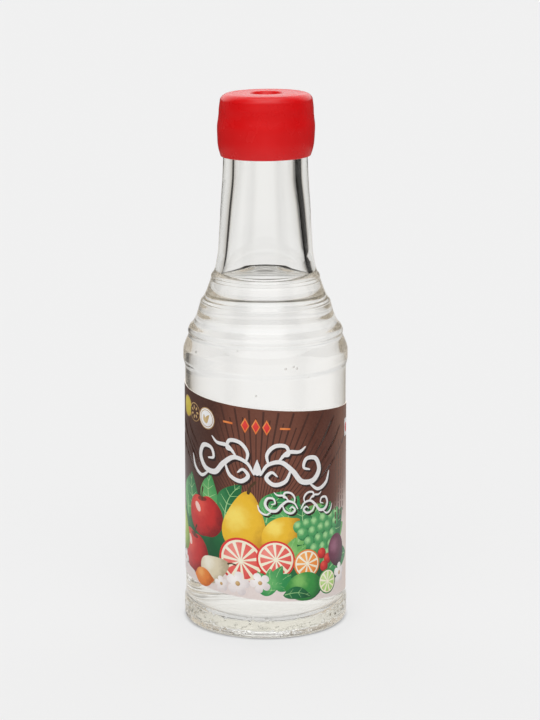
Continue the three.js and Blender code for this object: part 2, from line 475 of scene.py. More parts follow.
def floor_with_painted_shadow_material():
    """Pale card; most of its brightness is its own, so that it stays even and keeps only a faint shadow.
    Under the foot of the bottle its glow is turned down as a painted shadow, deepest under the middle and again round
    the edge of the foot, and tinted warm there as painted light from the label."""
    m, n, p, co = material("floor_with_painted_shadow")
    x, y, z = n.xyz(co)[:3]
    r = n.math("SQRT", n.math("ADD", n.math("MULTIPLY", x, x), n.math("MULTIPLY", y, y)))
    away = n.step(r, 0.0240, 0.0264)
    n.put(p.inputs["Base Color"], n.mix(n.noise(co, 3, 2), (0.199, 0.199, 0.199, 1), (0.201, 0.201, 0.201, 1)))
    p.inputs["Roughness"].default_value = 1.0
    p.inputs["Specular IOR Level"].default_value = 0.0
    # painted warm light: the glow is tinted warm under the middle of the bottle
    n.put(p.inputs["Emission Color"], n.mix(n.step(r, 0.0125, 0.0165), (1, 0.90, 0.76, 1), (1, 1, 1, 1)))
    # painted shadow: the glow falls to 0.12 under the middle of the bottle and to 0.42 round the edge of the foot
    ring = n.step(r, 0.0140, 0.0170, 0.12, 1.0)
    ring = n.math("MULTIPLY", ring, n.step(r, 0.0216, 0.0230, 1.0, 0.42))
    n.put(p.inputs["Emission Strength"], n.math("MULTIPLY", n.math("ADD", n.math("MULTIPLY", ring, n.math("SUBTRACT", 1.0, away)), away), FLOOR_GLOW))
    return m


FLOOR_GLOW = 0.644


# ---------------------------------------------------------------------------
# light
# ---------------------------------------------------------------------------
def studio():
    w = bpy.data.worlds.new("studio")
    bpy.context.scene.world = w
    w.use_nodes = True
    n = Nodes(w.node_tree)
    bg = w.node_tree.nodes["Background"]
    d = n.new("ShaderNodeTexCoord").outputs["Generated"]
    x, y, z = n.xyz(d)[:3]
    az = n.math("MULTIPLY", n.math("ABSOLUTE", n.math("ARCTAN2", x, n.math("MULTIPLY", y, -1.0))), 180 / math.pi)
    el = n.math("MULTIPLY", n.math("ARCSINE", z), 180 / math.pi)
    # white behind, dim at the sides, a broad soft light over the camera
    back = n.step(az, 100, 140, 0.0, 1.0)
    path = n.new("ShaderNodeLightPath").outputs
    over = n.math("MULTIPLY", n.step(el, 58, 78, 0.0, 2.0), n.math("MULTIPLY_ADD", path["Is Transmission Ray"], -0.75, 1.0))
    level = n.math("ADD", n.step(el, 0, 65, 0.02, 0.30), over)
    level = n.math("ADD", level, n.math("MULTIPLY", back, n.step(el, 20, 70, 1.3, 0.1)))
    front = n.math("MULTIPLY", n.step(az, 88, 20), n.math("MULTIPLY", n.step(el, 2, 22), n.step(el, 78, 55)))
    level = n.math("ADD", level, n.math("MULTIPLY", front, n.math("MULTIPLY_ADD", path["Is Transmission Ray"], -0.6, 1.2)))
    box = n.math("MULTIPLY", n.step(az, 44, 36), n.math("MULTIPLY", n.step(el, 40, 46), n.step(el, 74, 68)))
    seen = n.math("MULTIPLY_ADD", path["Is Transmission Ray"], -0.65, 1.4)
    level = n.math("ADD", level, n.math("MULTIPLY", box, seen))
    n.put(bg.inputs["Color"], (1, 1, 1, 1))
    cam = path["Is Camera Ray"]
    n.put(bg.inputs["Strength"], n.math("ADD", n.math("MULTIPLY", level, n.math("SUBTRACT", 1.0, cam)), n.math("MULTIPLY", cam, 0.863)))


def plane(name, corners, mat):
    obj = make(name, [[c / MM for c in p] for p in corners], [tuple(range(len(corners)))], smooth=False)
    obj.data.materials.append(mat)
    return obj


# How bright the room round the bottle is, from straight behind (0) to the right (positive): white
# in the middle, falling off to dark gaps between the backdrop and the softboxes. FOOT is what the
# filled body shows, LOW what the bore of the neck shows and HIGH what its wall shows. SHEEN is what
# the glass mirrors, and CAP_SHEEN what the cap mirrors.
SIDES = [(68, 0.75), (76, 0.90), (104, 0.90), (116, 0.70), (124, 0.10), (132, 0.06), (140, 0.45), (150, 0.88), (180, 0.90)]
LEFT_SIDES = [(-a, v) for a, v in SIDES[::-1]]
FOOT = LEFT_SIDES + [(-58.5, 0.24), (-55, 0.22), (-51.5, 0.42), (-47, 0.66), (-37, 0.87), (-26, 0.95), (-12, 0.97),
                     (0, 0.945), (8, 0.945), (18, 0.91), (26, 0.83), (31, 0.76), (36, 0.62), (40, 0.30), (43, 0.01), (58, 0.01), (62, 0.35)] + SIDES
LOW = LEFT_SIDES + [(-58, 0.66), (-47, 0.70), (-37, 0.78), (-26, 0.84), (-12, 0.88), (8, 0.88), (18, 0.85), (26, 0.80), (36, 0.76), (47, 0.72), (58, 0.62)] + SIDES
HIGH = [(-180, 0.90), (-154, 0.86), (-146, 0.45), (-138, 0.03), (-118, 0.03), (-112, 0.60), (-104, 0.90), (-76, 0.90), (-69, 0.75),
        (-63, 0.55), (-60.5, 0.15), (-58.5, 0.003), (-52.5, 0.003), (-49.5, 0.50), (-38, 0.70), (-28, 0.80), (-12, 0.90),
        (0, 0.90), (12, 0.86), (22, 0.78), (29, 0.60), (33, 0.30), (36, 0.003), (68, 0.003), (73, 0.40), (77, 0.80), (80, 0.90),
        (104, 0.90), (112, 0.60), (118, 0.03), (138, 0.03), (146, 0.45), (154, 0.86), (180, 0.90)]
SHEEN = [(-180, 0.80), (-150, 0.62), (-110, 0.42), (-70, 0.40), (-55, 0.25), (-30, 0.25), (-20, 0.60), (0, 0.86), (20, 0.60), (30, 0.40), (55, 0.40), (70, 0.42), (110, 0.40), (150, 0.60), (180, 0.80)]
CAP_SHEEN = [(-180, 0.22), (-120, 0.10), (-60, 0.05), (-26, 0.06), (-12, 0.20), (0, 0.22), (12, 0.20), (26, 0.06), (60, 0.05), (120, 0.09), (180, 0.22)]


def round_curve(n, turn, table):
    ramp = n.new("ShaderNodeFloatCurve")
    curve = ramp.mapping.curves[0]
    pts = [((a + 180) / 360, v) for a, v in table]
    for c in pts[1:-1]:
        curve.points.new(*c)
    for q, c in zip(sorted(curve.points, key=lambda k: k.location[0]), pts):
        q.location = c
        q.handle_type = "VECTOR"
    ramp.mapping.use_clip = False
    ramp.mapping.update()
    n.put(ramp.inputs["Value"], turn)
    return ramp.outputs[0]


def room_material(name, *bands):
    """bands: a table, then the heights between which it gives way to the next table, and so on."""
    m, n, p, co = material(name)
    x, y, z = n.xyz(co)[:3]
    turn = n.math("MULTIPLY_ADD", n.math("ARCTAN2", x, y), 1 / TAU, 0.5)
    level = round_curve(n, turn, bands[0])
    for (z0, z1), table in zip(bands[1::2], bands[2::2]):
        t = n.step(z, z0, z1)
        level = n.math("ADD", n.math("MULTIPLY", level, n.math("SUBTRACT", 1.0, t)), n.math("MULTIPLY", round_curve(n, turn, table), t))
    p.inputs["Base Color"].default_value = (0, 0, 0, 1)
    p.inputs["Specular IOR Level"].default_value = 0.0
    p.inputs["Roughness"].default_value = 1.0
    n.put(p.inputs["Emission Color"], n.mix(n.step(level, 0.25, 0.9), (1, 0.93, 0.84, 1), (1, 1, 1, 1)))
    n.put(p.inputs["Emission Strength"], level)
    return m


def surroundings():
    n = 48
    disc = [(9 * math.cos(TAU * i / n), 9 * math.sin(TAU * i / n), 0.0) for i in range(n)]
    plane("floor_with_painted_shadow", disc, floor_with_painted_shadow_material())
    # screens round the bottle that only light through the glass, or mirrored by it, meets
    def screen(name, radius, low, high, mat, through_glass):
        seg = 240
        verts = [(radius * math.sin(TAU * i / seg), radius * math.cos(TAU * i / seg), z) for z in (low, high) for i in range(seg)]
        faces = [(i, (i + 1) % seg, seg + (i + 1) % seg, seg + i) for i in range(seg)]
        o = make(name, verts, faces)
        o.data.materials.append(mat)
        o.visible_camera = o.visible_diffuse = o.visible_shadow = o.visible_volume_scatter = False
        o.visible_transmission, o.visible_glossy = through_glass, not through_glass
    screen("room_screen", 200.0, 0.5, 270.0, room_material("room", FOOT, (0.046, 0.056), LOW, (0.101, 0.106), HIGH), True)
    screen("sheen_screen", 210.0, 0.5, 186.0, room_material("sheen", SHEEN, (0.095, 0.098), CAP_SHEEN), False)


# ---------------------------------------------------------------------------
# pieces
# ---------------------------------------------------------------------------
def piece(name, verts, faces, mat, node, slot):
    obj = make(name, verts, faces)
    obj.data.materials.append(mat)
    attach(obj, "root")
    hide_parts(node)
    return obj


def glass():
    return piece("glass_body", *turned(glass_rows(), glass_move), glass_material(), "glass_bottle", "clear_glass")


BUBBLES = [(5.8, 84.3, 0.36), (8.1, 84.8, 0.32), (9.0, 84.2, 0.34), (-2.7, 76.1, 0.32), (-19.6, 86.3, 0.32), (12.4, 81.3, 0.2), (-8.0, 89.1, 0.2)]


def bubbles(count):
    """Small round hollows just inside the front of the liquid, facing inward; count is where their vertices start."""
    verts, faces = [], []
    for x, z, r in BUBBLES:
        y = -math.sqrt((float(BORE_R(z)) - r - 0.35) ** 2 - x * x)
        b = count + len(verts)
        verts.append((x, y, z - r))
        for i in range(1, 8):
            for j in range(14):
                t, a = math.pi * i / 8, TAU * j / 14
                verts.append((x + r * math.sin(t) * math.cos(a), y + r * math.sin(t) * math.sin(a), z - r * math.cos(t)))
        verts.append((x, y, z + r))
        top = b + 7 * 14 + 1
        for j in range(14):
            k = (j + 1) % 14
            faces.append((b, b + 1 + j, b + 1 + k))
            faces.append((top, b + 1 + 6 * 14 + k, b + 1 + 6 * 14 + j))
            for i in range(6):
                u, v = b + 1 + i * 14, b + 1 + (i + 1) * 14
                faces.append((u + j, v + j, v + k, u + k))
    return verts, faces


def liquid():
    verts, faces = turned(liquid_rows(), liquid_move)
    more, round_them = bubbles(len(verts))
    verts, faces = verts + more, faces + round_them
    return piece("vinegar_fill", verts, faces, liquid_material(), "vinegar", "vinegar_liquid")


def cap():
    c = CAP
    skirt = [(c["lip_out"], c["lip_z"] + 0.45), (14.02, 146.7), (14.26, 147.5), (14.50, 148.6), (14.65, 149.8), (14.73, 151.2), (14.78, 152.4),
             (14.83, 153.6), (14.82, 154.7), (14.66, 156.1), (14.50, 157.3), (14.39, 158.5), (14.34, 159.8)]
    edge = arc(c["top_r"] - c["edge_out"], c["top"] - c["edge_down"], c["edge_out"], c["edge_down"], 0, 90, 9)
    top = [(10.9, c["top"]), (10.6, c["top"] - 0.12), (10.3, c["top"]), (c["dimple_r"] + 0.7, c["top"])]
    out = through(skirt + edge[:-1], 3, 0.6) + through([edge[-1], *top], 5, 0.8)[:]
    dimple = through([(c["dimple_r"] + 0.45, c["top"] - 0.03), (c["dimple_r"] + 0.1, c["top"] - 0.3), (c["dimple_r"] - 0.2, c["top"] - c["dimple"] + 0.15),
                      (c["dimple_r"] - 0.7, c["top"] - c["dimple"]), (c["nub_r"] + 0.5, c["top"] - c["dimple"]),
                      (c["nub_r"], c["top"] - c["dimple"] + 0.15), (c["nub_r"] - 0.35, c["top"] - c["dimple"] + c["nub"]), (0.0, c["top"] - c["dimple"] + c["nub"])], 8, 0.7)
    inside = [(0.0, c["seat"]), (FINISH["lip"] + 0.3, c["seat"]), (c["inner"], FINISH["bead_high"] + 0.8),
              (c["inner"], FINISH["bead_low"] - 0.6), (c["lip_in"], c["lip_z"] + 1.0), (c["lip_in"], c["lip_z"] + 0.3)]
    lip = through([(c["lip_in"], c["lip_z"] + 0.3), (c["lip_in"] + 0.15, c["lip_z"] + 0.05), (c["lip_out"] - 0.45, c["lip_z"]),
                   (c["lip_out"] - 0.12, c["lip_z"] + 0.14), (c["lip_out"], c["lip_z"] + 0.45)], 8, 0.3)
    rows = [(r, z, 192) for r, z in inside[:-1] + lip + out[1:] + dimple]
    verts, faces = turned(rows)
    # pressed on a little askew
    verts = [(x + (z - 154.9) * 0.010 + 0.20, y, z + x * 0.010) for x, y, z in verts]
    return piece("screw_cap", verts, faces, cap_material(), "cap", "red_cap")


# ---------------------------------------------------------------------------
# label: flat print cut from plain outlines, then wrapped
# Sheet coordinates are millimetres: x round the bottle from the middle of the
# front, y up from the lower edge.
# ---------------------------------------------------------------------------
SHEET = (LABEL["left"] * DEG * LABEL["radius"], LABEL["right"] * DEG * LABEL["radius"], LABEL["top"] - LABEL["bottom"])


class Sheet:
    """Outlines in painting order; each one has an ink and a frame of its own for shading."""

    def __init__(self):
        self.shapes = []

    def add(self, outline, ink, frame=None):
        p = np.array(outline, float)
        if frame is None:
            c = (p.max(0) + p.min(0)) / 2
            frame = (*c, float(max(p.max(0) - p.min(0))) / 2, 0.0)
        self.shapes.append((p, ink, frame))

    def disc(self, x, y, r, ink, n=30, squash=1.0, turn=0.0, frame=None):
        a = np.arange(n) * TAU / n
        self.add(place(np.stack([r * np.cos(a), r * squash * np.sin(a)], 1), x, y, 1, turn), ink, frame or (x, y, r, turn))

    def ribbon(self, line, width, ink, frame=None):
        """A stroke along a line, with a width at each of its points, in short pieces."""
        p = np.array(line, float)
        t = np.gradient(p, axis=0)
        t /= np.hypot(*t.T)[:, None] + 1e-9
        nrm = np.stack([-t[:, 1], t[:, 0]], 1) * np.asarray(width)[:, None] / 2
        left, right = p + nrm, p - nrm
        frame = frame or (0, 0, 1, 0)
        for i in range(0, len(p) - 1, 2):
            k = min(i + 2, len(p) - 1)
            self.shapes.append((np.concatenate([left[i:k + 1], right[i:k + 1][::-1]]), ink, frame))
        self.disc(*p[0], max(width[0] / 2, 0.08), ink, 10, frame=frame)
        self.disc(*p[-1], max(width[-1] / 2, 0.08), ink, 10, frame=frame)


def place(p, x, y, scale=1.0, turn=0.0):
    p = np.asarray(p, float)
    c, s = math.cos(turn * DEG), math.sin(turn * DEG)
    return np.stack([x + scale * (p[:, 0] * c - p[:, 1] * s), y + scale * (p[:, 0] * s + p[:, 1] * c)], 1)


def smooth_line(points, n):
    p = np.array(points, float)
    s = np.concatenate([[0], np.cumsum(np.hypot(*np.diff(p, axis=0).T))])
    m = np.gradient(p, s, axis=0)
    q = np.linspace(0, s[-1], n)
    k = np.clip(np.searchsorted(s, q, "right") - 1, 0, len(s) - 2)
    h = (s[k + 1] - s[k])[:, None]
    t = ((q - s[k]) / h[:, 0])[:, None]
    return ((2 * t**3 - 3 * t**2 + 1) * p[k] + (t**3 - 2 * t**2 + t) * h * m[k] + (-2 * t**3 + 3 * t**2) * p[k + 1] + (t**3 - t**2) * h * m[k + 1])


def curl(x, y, r, turns, start, sense, n=34, inner=0.22):
    """A spiral that winds in from radius r; start is where its outside begins."""
    t = np.linspace(0, 1, n)
    rad = r * (1 - (1 - inner) * t ** 0.85)
    a = start * DEG + sense * TAU * turns * t
    return np.stack([x + rad * np.cos(a), y + rad * np.sin(a)], 1)


def leaf(sheet, x, y, length, width, turn, ink="leaf_mid", bend=0.12, teeth=0, veins=4):
    t = np.linspace(0, 1, 17)
    mid = np.stack([t * length, bend * length * np.sin(math.pi * t)], 1)
    half = width / 2 * np.sin(math.pi * t ** 0.8) ** 0.85
    if teeth:
        half = half * (1 + 0.10 * np.sign(np.sin(np.arange(17) * math.pi * 0.97)))
    up, down = mid + np.stack([0 * t, half], 1), mid - np.stack([0 * t, half], 1)
    frame = (x, y, length, turn)
    sheet.add(place(np.concatenate([up, down[1:-1][::-1]]), x, y, 1, turn), ink, frame)
    sheet.ribbon(place(mid[1:-1], x, y, 1, turn), np.linspace(0.34, 0.12, 15) * length / 12, "leaf_vein", frame)
    for k in range(veins):
        u = 0.2 + 0.6 * k / max(veins - 1, 1)
        for side in (1, -1):
            b = np.array([np.interp(u, t, mid[:, 0]), np.interp(u, t, mid[:, 1])])
            reach = np.interp(u + 0.09, t, half) * 0.78
            e = b + np.array([length * 0.11, side * reach])
            v = np.stack([b + (e - b) * w for w in (0, 0.5, 1)])
            sheet.ribbon(place(v, x, y, 1, turn), np.array([0.2, 0.15, 0.07]) * length / 12, "leaf_vein", frame)


def apple(sheet, x, y, r, turn, ink):
    a = np.arange(44) * TAU / 44
    rad = 1 - 0.16 * np.exp(-((a - math.pi / 2) / 0.33) ** 2) - 0.07 * np.exp(-((a - 1.5 * math.pi) / 0.3) ** 2) + 0.04 * np.cos(2 * a)
    sheet.add(place(np.stack([1.04 * rad * np.cos(a), rad * np.sin(a)], 1), x, y, r, turn), ink, (x, y, r, turn))
    d = np.arange(18) * TAU / 18
    hollow = np.stack([0.30 * np.cos(d), 0.72 + 0.10 * np.sin(d)], 1)
    sheet.add(place(hollow, x, y, r, turn), ink + "_deep", (x, y, r, turn))
    sheet.ribbon(place([(0.0, 0.70), (0.03, 0.95), (0.14, 1.22)], x, y, r, turn), np.array([0.09, 0.07, 0.1]) * r, "stalk")
    sheet.disc(*place([(-0.38, 0.34)], x, y, r, turn)[0], 0.16 * r, ink + "_shine", 14, 1.5, turn + 35, frame=(x, y, r, turn))


def pear(sheet, x, y, r, turn, ink):
    a = np.arange(48) * TAU / 48
    px = np.cos(a) * (1 - 0.26 * (np.sin(a) + 1) ** 1.25 / 1.6)
    py = np.sin(a) * 1.0 + 0.42 * np.clip(np.sin(a), 0, 1) ** 2
    sheet.add(place(np.stack([px, py], 1), x, y, r, turn), ink, (x, y, r, turn))
    sheet.ribbon(place([(0.0, 1.36), (0.04, 1.6), (0.2, 1.82)], x, y, r, turn), np.array([0.12, 0.08, 0.1]) * r, "stalk")


def lemon(sheet, x, y, r, turn, ink="yellow"):
    a = np.arange(40) * TAU / 40
    rad = 1 + 0.24 * np.exp(-((np.minimum(a, TAU - a)) / 0.26) ** 2) + 0.16 * np.exp(-((a - math.pi) / 0.22) ** 2)
    sheet.add(place(np.stack([1.12 * rad * np.cos(a), 0.86 * rad * np.sin(a)], 1), x, y, r, turn), ink, (x, y, r, turn))


def slice_of(sheet, x, y, r, turn, rind, flesh, parts=9, squash=1.0):
    sheet.disc(x, y, r, rind, 40, squash, turn)
    sheet.disc(x, y, r * 0.90, "pith", 36, squash, turn, frame=(x, y, r, turn))
    for k in range(parts):
        a0, a1 = (k + 0.07) * TAU / parts, (k + 0.93) * TAU / parts
        c = np.linspace(a0 + 0.06, a1 - 0.06, 6)
        out = np.stack([0.80 * np.cos(c), 0.80 * np.sin(c) * squash], 1)
        m = (a0 + a1) / 2
        tip = np.array([[0.10 * math.cos(m), 0.10 * math.sin(m) * squash]])
        sheet.add(place(np.concatenate([tip, out]), x, y, r, turn), flesh, (x, y, r, turn))


def blossom(sheet, x, y, r, turn, petals=5):
    for k in range(petals):
        g = turn + 360 * k / petals
        a = np.arange(16) * TAU / 16
        p = np.stack([0.56 + 0.44 * np.cos(a), 0.36 * np.sin(a) * (1 + 0.25 * np.cos(a))], 1)
        sheet.add(place(p, x, y, r, g), "petal", (x, y, r, g))
    sheet.disc(x, y, 0.20 * r, "gold", 12)


def bunch(sheet, x, y, r, rows, turn, ink="grape"):
    g = np.random.default_rng(31)
    for row in range(rows):
        count = rows - row
        for k in range(count):
            px = (k - (count - 1) / 2) * r * 1.62 + g.uniform(-0.2, 0.2) * r
            py = -row * r * 1.42 + g.uniform(-0.15, 0.15) * r
            cx, cy = place([(px, py)], x, y, 1, turn)[0]
            sheet.disc(cx, cy, r * g.uniform(0.94, 1.05), ink, 20)


def ornament(sheet, ink, dx, dy):
    """White scrollwork: two rows of mirrored curls that spring from a drop in the middle."""
    def stroke(line, w0, w1, n=46, sharp=0.65):
        p = smooth_line(line, n) if len(line) < 30 else np.asarray(line)
        t = np.linspace(0, 1, len(p))
        w = w1 + (w0 - w1) * np.sin(math.pi * np.clip(t, 0, 1)) ** sharp
        sheet.ribbon(p + np.array([dx, dy]), w, ink)

    def half(cx, cy, k, s):
        def at(points):
            return [(cx + k * x * s, cy + y * s) for x, y in points]
        stroke(at([(1.0, 0.0), (3.2, 3.4), (7.2, 4.6), (11.0, 2.0), (14.4, -1.6), (18.4, -1.2), (20.6, 2.4), (19.0, 5.8), (15.6, 5.6), (14.9, 2.9), (16.9, 2.3)]), 1.7 * s, 0.5 * s, 92)
        stroke(at([(6.4, 4.6), (9.6, 7.8), (13.8, 8.2), (15.4, 9.6)]), 1.2 * s, 0.35 * s, 24)
        stroke(at([(3.6, 3.2), (3.0, 6.6), (5.6, 9.6), (9.2, 9.4), (9.7, 6.9), (7.6, 6.6)]), 1.25 * s, 0.4 * s, 44)
        stroke(at([(10.6, 2.4), (8.6, -1.6), (4.8, -2.6), (2.8, -0.6), (4.6, 1.2), (6.2, 0.0)]), 1.35 * s, 0.4 * s, 44)
        stroke(at([(16.6, -1.9), (20.2, -4.2), (23.6, -2.4), (25.0, 1.2)]), 1.15 * s, 0.3 * s, 24)
    half(-2.5, 39.4, 1, 0.98)
    half(-2.5, 39.4, -1, 0.98)
    drop = [(0, 3.6), (0.9, 1.4), (1.25, 0.1), (0.9, -1.1), (0, -1.6), (-0.9, -1.1), (-1.25, 0.1), (-0.9, 1.4)]
    sheet.add([(x - 2.5 + dx, y + 40.7 + dy) for x, y in drop], ink, (0, 0, 1, 0))
    half(10.6, 29.4, 1, 0.52)
    half(10.6, 29.4, -1, 0.52)


def seal(sheet, x, y, r, rim, face, inner=True):
    sheet.disc(x, y, r, rim, 40)
    sheet.disc(x, y, r * 0.91, face, 40)
    if inner:
        sheet.disc(x, y, r * 0.80, rim, 40)
        sheet.disc(x, y, r * 0.74, face, 40)


def sprig(sheet, x, y, length, width, count, spread, turn, ink):
    for k in range(count):
        leaf(sheet, x, y, length * (1 - 0.12 * (k % 2)), width, turn + spread * (k / (count - 1) - 0.5), ink, veins=2)


def design():
    s = Sheet()
    left, right, high = SHEET
    s.add([(left, 0), (right, 0), (right, high), (left, high)], "ground", (0, 0, 1, 0))
    # fan of thin dark rays behind everything
    cx, cy = -3.0, 21.0
    for k in range(33):
        a = (93 + (k - 16) * 3.35) * DEG
        reach = 36.0 if k % 2 else 46.0
        w = 0.22 if k % 2 else 0.34
        d, q = np.array([math.cos(a), math.sin(a)]), np.array([-math.sin(a), math.cos(a)])
        c = np.array([cx, cy])
        reach = min(reach, (high - 0.6 - cy) / max(d[1], 0.12))
        s.add([c + d * 9 - q * 0.1, c + d * reach - q * w, c + d * reach + q * w, c + d * 9 + q * 0.1], "ray", (0, 0, 1, 0))
    # three plain seals at the upper left, a red and orange rule in the middle
    seal(s, -31.2, 54.3, 3.3, "gold", "seal_yellow", False)
    seal(s, -25.9, 53.9, 2.9, "gold", "ray", False)
    for k in range(7):
        s.disc(-25.9 + 1.5 * math.cos(k * TAU / 7), 53.9 + 1.5 * math.sin(k * TAU / 7), 0.62, "gold", 12, 0.55, k * 360 / 7)
    seal(s, -19.9, 53.6, 3.35, "gold", "white")
    leaf(s, -20.0, 52.0, 3.2, 1.3, 66, "gold", veins=0)
    leaf(s, -19.8, 52.0, 3.0, 1.2, 116, "gold", veins=0)
    for x0, x1 in ((-13.4, -10.2), (4.4, 7.6)):
        s.add([(x0, 54.0), (x1, 54.0), (x1, 54.6), (x0, 54.6)], "orange")
    for k in range(3):
        x = -6.2 + 3.3 * k
        s.add([(x, 56.7), (x + 1.35, 54.3), (x, 51.9), (x - 1.35, 54.3)], "orange")
        s.add([(x, 56.0), (x + 0.98, 54.3), (x, 52.6), (x - 0.98, 54.3)], "red_flat")
    # a cream tab with a red disc at the right
    s.add([(33.4, 49.6), (37.6, 49.6), (37.6, 55.2), (33.4, 55.2)], "white")
    s.disc(35.5, 52.4, 1.6, "red_flat", 20)
    # leafy mass behind the fruit
    for x, y, r in ((-44, 12, 9), (-35, 12, 9), (-27, 15, 9.5), (-18, 16, 10), (-9, 15, 9.5), (1, 14, 10), (10, 15, 10.5), (18, 14, 9.5), (25, 12, 6.5), (13, 7, 7), (-22, 7, 6)):
        s.disc(x, y, r, "leaf_deep", 26, 1.0, x * 7)
    for x, y, l, w, t, ink in ((-37, 14, 16, 8.5, 112, "leaf_mid"), (-31, 19, 15, 8, 78, "leaf_mid"), (-25, 22, 13, 7.5, 104, "leaf_dark"), (-17, 24, 13, 7.5, 96, "leaf_mid"),
                               (-13, 23, 14, 7.5, 66, "leaf_dark"), (0, 24, 13, 7.5, 58, "leaf_mid"), (7, 20, 14, 8, 76, "leaf_mid"), (10, 18, 16, 8.5, 52, "leaf_light"),
                               (17, 17, 15, 9, 66, "leaf_mid"), (20, 13, 15, 9, 40, "leaf_light"), (14, 20, 12, 7, 98, "leaf_dark"), (22, 9, 14, 8, 12, "leaf_mid"),
                               (25, 16, 13, 7, 64, "leaf_dark"), (-44, 16, 15, 8, 95, "leaf_mid"), (-45, 7, 9, 6, 150, "leaf_dark")):
        leaf(s, x, y, l, w, t, ink)
    # fruit, from the back to the front
    apple(s, -21.2, 22.6, 7.2, 10, "red")
    pear(s, -6.6, 22.2, 8.3, -7, "yellow")
    lemon(s, 4.6, 21.4, 5.6, 38)
    bunch(s, 18.4, 25.2, 2.05, 6, 10)
    sprig(s, 8.4, 11.0, 9.5, 4.6, 5, 110, 84, "leaf_light")
    apple(s, -27.0, 9.6, 7.2, -6, "red")
    pear(s, -35.6, 13.0, 6.0, 12, "pear")
    slice_of(s, -7.6, 11.6, 7.3, 14, "red_flat", "flesh_red", 11)
    slice_of(s, 3.2, 13.2, 6.0, -12, "red_flat", "flesh_red", 10)
    slice_of(s, 13.4, 11.8, 4.6, 20, "orange", "flesh_orange", 9)
    for x, y in ((19.0, 14.6), (21.6, 12.6), (20.0, 10.4)):
        s.disc(x, y, 1.75, "red", 22)
    s.disc(26.6, 14.6, 4.6, "plum", 32, 1.18, 18)
    sprig(s, 3.4, 3.6, 8.0, 4.2, 6, 150, 92, "leaf_mid")
    pear(s, -17.8, 6.6, 5.0, -62, "cream_fruit")
    lemon(s, -21.6, 2.9, 3.4, 4, "orange_fruit")
    lemon(s, 12.6, 4.6, 5.3, 7, "lime")
    slice_of(s, 21.6, 5.2, 4.0, 6, "lime", "flesh_lime", 9)
    leaf(s, 5.4, 1.9, 9.5, 4.0, 356, "leaf_dark", veins=3)
    for x, y, r, t in ((-8.6, 4.2, 3.9, 10), (-1.6, 5.4, 3.3, 44), (-14.2, 2.9, 2.5, 30), (28.4, 6.8, 3.4, 20), (-34.2, 4.6, 3.0, 8), (-40.2, 7.0, 2.8, 24)):
        blossom(s, x, y, r, t)
    # the same kinds of fruit go on round the left end
    apple(s, -46.6, 11.0, 6.4, -14, "red")
    blossom(s, -44.0, 5.0, 3.2, 12)
    # plain rules where the small print would be: upright at the right, level round the side
    g = np.random.default_rng(12)
    for x in (25.4, 27.3, 29.2, 31.1):
        y = 23.0 + (x - 25.4) * 0.6
        while y < 47.5:
            w = g.uniform(0.6, 2.4)
            s.add([(x, y), (x + 0.62, y), (x + 0.62, y + w), (x, y + w)], "bar", (0, 0, 1, 0))
            y += w + 0.5
    for k in range(25):
        y = 52.0 - 1.7 * k
        x = 39.6
        while x < 56.0:
            w = g.uniform(0.8, 3.0)
            if x + w < 56.6:
                s.add([(x, y), (x + w, y), (x + w, y + 0.62), (x, y + 0.62)], "bar", (0, 0, 1, 0))
            x += w + 0.55
    ornament(s, "shadow", 0.55, -0.6)
    ornament(s, "white", 0.0, 0.0)
    return s


INKS = {  # dark, mid and light of each ink
    "ray": ((74, 41, 31),) * 3, "shadow": ((44, 26, 24),) * 3, "white": ((228, 226, 225), (238, 237, 236), (244, 243, 242)),
    "gold": ((168, 128, 78), (196, 158, 104), (214, 182, 132)), "seal_yellow": ((196, 170, 48), (214, 192, 62), (226, 208, 84)),
    "orange": ((206, 104, 44), (226, 124, 58), (236, 144, 78)), "red_flat": ((204, 44, 44), (216, 54, 50), (222, 66, 60)),
    "red": ((122, 20, 22), (198, 40, 38), (226, 78, 64)), "red_deep": ((92, 22, 18), (120, 34, 22), (150, 52, 34)), "red_shine": ((226, 120, 108), (240, 176, 164), (248, 208, 198)),
    "yellow": ((186, 128, 28), (232, 184, 44), (246, 220, 104)), "yellow_flat": ((222, 176, 40), (236, 194, 52), (242, 208, 84)),
    "pear": ((104, 134, 40), (158, 186, 66), (208, 220, 124)), "grape": ((30, 104, 62), (74, 156, 92), (168, 216, 150)),
    "leaf_dark": ((14, 74, 42), (26, 104, 58), (64, 140, 84)), "leaf_mid": ((24, 98, 54), (42, 136, 74), (104, 178, 104)),
    "leaf_light": ((60, 130, 62), (104, 172, 88), (160, 206, 128)), "leaf_vein": ((120, 178, 112), (146, 196, 130), (172, 212, 152)),
    "flesh_yellow": ((232, 196, 84), (240, 212, 112), (246, 228, 150)), "flesh_orange": ((222, 122, 50), (236, 146, 66), (242, 172, 96)),
    "pith": ((232, 220, 190), (240, 232, 208), (244, 238, 220)), "petal": ((206, 196, 196), (232, 224, 222), (244, 240, 238)),
    "leaf_deep": ((10, 58, 34), (18, 84, 46), (34, 108, 60)), "flesh_red": ((204, 62, 58), (226, 96, 88), (238, 142, 130)),
    "lime": ((30, 104, 46), (52, 140, 62), (128, 188, 100)), "flesh_lime": ((150, 192, 98), (178, 212, 122), (204, 226, 158)),
    "plum": ((56, 22, 40), (104, 46, 70), (150, 96, 118)), "cream_fruit": ((176, 160, 132), (220, 208, 180), (240, 234, 216)),
    "orange_fruit": ((190, 92, 30), (226, 128, 52), (240, 168, 92)),
    "stalk": ((70, 48, 24), (96, 70, 36), (120, 92, 52)), "bar": ((92, 60, 46),) * 3,
}


def paper(name):
    m, n, p, co = material(name)
    p.inputs["Roughness"].default_value = 0.36
    p.inputs["Specular IOR Level"].default_value = 0.30
    fine = n.noise(co, 2600, 2, 0.6)
    n.put(p.inputs["Normal"], n.bump(fine, 0.08, 0.00003, n.bump(n.noise(co, 160, 2), 0.10, 0.00012)))
    return m, n, p, co


